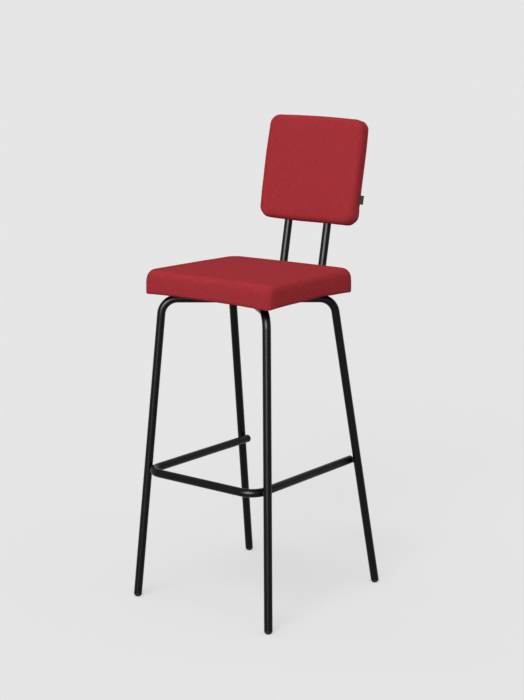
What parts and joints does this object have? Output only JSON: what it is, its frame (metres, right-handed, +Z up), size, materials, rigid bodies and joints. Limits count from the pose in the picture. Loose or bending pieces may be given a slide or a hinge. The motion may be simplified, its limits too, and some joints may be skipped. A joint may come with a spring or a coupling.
{
  "type": "bar stool",
  "caption": "Tall bar stool: square padded seat and backrest in red cloth on crossed loops of bent black steel tube, with a U-shaped footrest open at the back.",
  "frame": {"origin": "on the floor, under the middle of the stool's box", "axes": "+Z up, +Y towards the back, +X to the right seen from the front"},
  "size_m": [0.404, 0.4756, 1.1132],
  "materials": {
    "powder_coat": "satin black powder coat",
    "black_plastic": "matt black moulded plastic",
    "zinc_steel": "bright zinc plate",
    "plywood": "raw birch plywood",
    "foam": "upholstery foam",
    "red_cloth": "fine red woven upholstery cloth",
    "dust_cloth": "thin black nonwoven cloth",
    "dark_tape": "bare dark woven tape"
  },
  "bodies": {
    "root": {"back_board": "plywood", "back_cover": "red_cloth", "back_foam_front": "foam", "back_foam_rear": "foam", "back_post_left": "powder_coat", "back_post_right": "powder_coat", "back_screw_lower_left": "zinc_steel", "back_screw_lower_right": "zinc_steel", "back_screw_upper_left": "zinc_steel", "back_screw_upper_right": "zinc_steel", "back_seam_tab": "dark_tape", "back_tee_nut_lower_left": "zinc_steel", "back_tee_nut_lower_right": "zinc_steel", "back_tee_nut_upper_left": "zinc_steel", "back_tee_nut_upper_right": "zinc_steel", "footrest": "powder_coat", "footrest_plug_left": "black_plastic", "footrest_plug_right": "black_plastic", "front_right_half_loop": "powder_coat", "glide_front_left": "black_plastic", "glide_front_right": "black_plastic", "glide_rear_left": "black_plastic", "glide_rear_right": "black_plastic", "post_plug_left": "black_plastic", "post_plug_right": "black_plastic", "rear_left_half_loop": "powder_coat", "seat_board": "plywood", "seat_cover": "red_cloth", "seat_dust_cloth": "dust_cloth", "seat_foam": "foam", "seat_screw_front_left": "zinc_steel", "seat_screw_front_right": "zinc_steel", "seat_screw_rear_left": "zinc_steel", "seat_screw_rear_right": "zinc_steel", "seat_tab_front_left": "powder_coat", "seat_tab_front_right": "powder_coat", "seat_tab_rear_left": "powder_coat", "seat_tab_rear_right": "powder_coat", "seat_tee_nut_front_left": "zinc_steel", "seat_tee_nut_front_right": "zinc_steel", "seat_tee_nut_rear_left": "zinc_steel", "seat_tee_nut_rear_right": "zinc_steel", "seat_washer_front_left": "zinc_steel", "seat_washer_front_right": "zinc_steel", "seat_washer_rear_left": "zinc_steel", "seat_washer_rear_right": "zinc_steel", "through_leg_loop": "powder_coat"}
  },
  "joints": []
}
